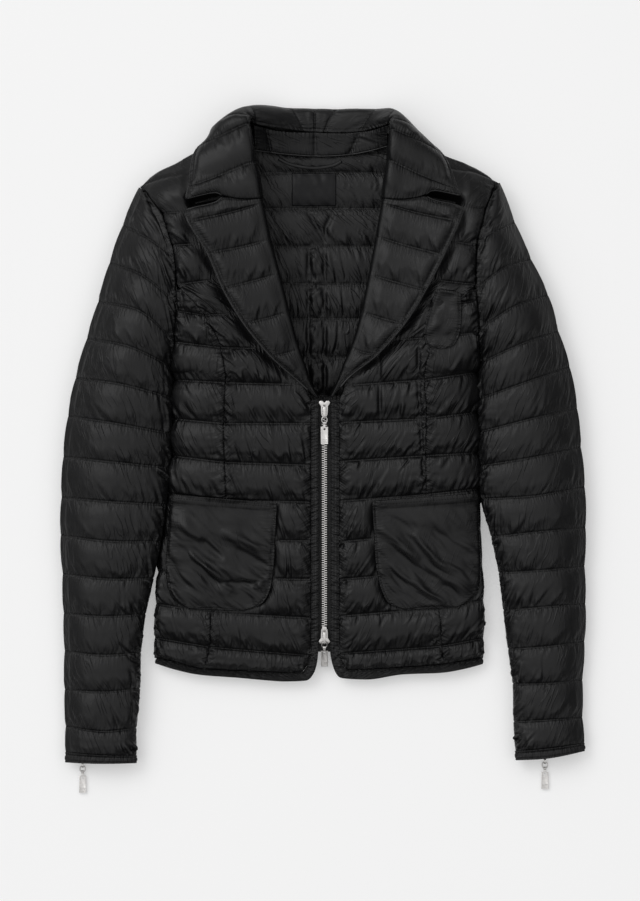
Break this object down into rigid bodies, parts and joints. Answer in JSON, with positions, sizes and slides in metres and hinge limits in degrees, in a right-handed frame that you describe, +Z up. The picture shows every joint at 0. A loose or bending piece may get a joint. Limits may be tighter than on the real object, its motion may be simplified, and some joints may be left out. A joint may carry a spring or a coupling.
{
  "type": "quilted jacket",
  "caption": "Short quilted blazer jacket with a notched lapel collar, patch pockets and a full-length metal front zip, closed and laid flat on its back.",
  "frame": {"origin": "on the flat underside of the back, in the middle of the chest, where the jacket rests", "axes": "+Z up from the surface it lies on, +Y from the hem to the collar, +X towards the wearer's left sleeve"},
  "size_m": [0.5642, 0.7313, 0.0633],
  "materials": {
    "black_nylon": "soft sheen, black quilted nylon",
    "black_webbing": "matt, woven",
    "satin_label": "satin weave, bare",
    "nickel": "nickel plate"
  },
  "bodies": {
    "root": {"back": "black_nylon", "front_right": "black_nylon", "front_left": "black_nylon", "side_right": "black_nylon", "side_left": "black_nylon", "sleeve_right": "black_nylon", "sleeve_left": "black_nylon", "cuff_right": "black_nylon", "cuff_left": "black_nylon", "collar": "black_nylon", "collar_stand": "black_nylon", "lapel_right": "black_nylon", "lapel_left": "black_nylon", "edge_band_right": "black_nylon", "edge_band_left": "black_nylon", "pocket_right": "black_nylon", "pocket_left": "black_nylon", "chest_pocket": "black_nylon", "neck_label": "satin_label", "hanger_loop": "black_webbing", "zip_tape_right": "black_webbing", "zip_tape_left": "black_webbing", "zip_chain": "nickel", "slider_top": "nickel", "slider_bottom": "nickel", "slider_cuff_right": "nickel", "slider_cuff_left": "nickel"},
    "link_top": {"link_top": "nickel"},
    "tab_top": {"tab_top": "nickel"},
    "link_bottom": {"link_bottom": "nickel"},
    "tab_bottom": {"tab_bottom": "nickel"},
    "link_cuff_right": {"link_cuff_right": "nickel"},
    "tab_cuff_right": {"tab_cuff_right": "nickel"},
    "link_cuff_left": {"link_cuff_left": "nickel"},
    "tab_cuff_left": {"tab_cuff_left": "nickel"}
  },
  "joints": [
    {"name": "link_top_hinge", "type": "hinge", "parent": "root", "child": "link_top", "pos_m": [-0.0006, 0.035, 0.04955], "axis": [-1, 0, 0], "range_deg": [0, 90]},
    {"name": "tab_top_hinge", "type": "hinge", "parent": "link_top", "child": "tab_top", "pos_m": [-0.0006, 0.02842, 0.04909], "axis": [-1, 0, 0], "range_deg": [0, 90]},
    {"name": "link_bottom_hinge", "type": "hinge", "parent": "root", "child": "link_bottom", "pos_m": [-0.0006, -0.2035, 0.02178], "axis": [-1, 0, 0], "range_deg": [0, 90]},
    {"name": "tab_bottom_hinge", "type": "hinge", "parent": "link_bottom", "child": "tab_bottom", "pos_m": [-0.0006, -0.20933, 0.01868], "axis": [-1, 0, 0], "range_deg": [0, 90]},
    {"name": "link_cuff_right_hinge", "type": "hinge", "parent": "root", "child": "link_cuff_right", "pos_m": [-0.2576, -0.3356, 0.003], "axis": [-1, 0, 0], "range_deg": [0, 90]},
    {"name": "tab_cuff_right_hinge", "type": "hinge", "parent": "link_cuff_right", "child": "tab_cuff_right", "pos_m": [-0.2576, -0.34218, 0.00254], "axis": [-1, 0, 0], "range_deg": [0, 90]},
    {"name": "link_cuff_left_hinge", "type": "hinge", "parent": "root", "child": "link_cuff_left", "pos_m": [0.2338, -0.3316, 0.003], "axis": [-1, 0, 0], "range_deg": [0, 90]},
    {"name": "tab_cuff_left_hinge", "type": "hinge", "parent": "link_cuff_left", "child": "tab_cuff_left", "pos_m": [0.2338, -0.33818, 0.00254], "axis": [-1, 0, 0], "range_deg": [0, 90]}
  ]
}
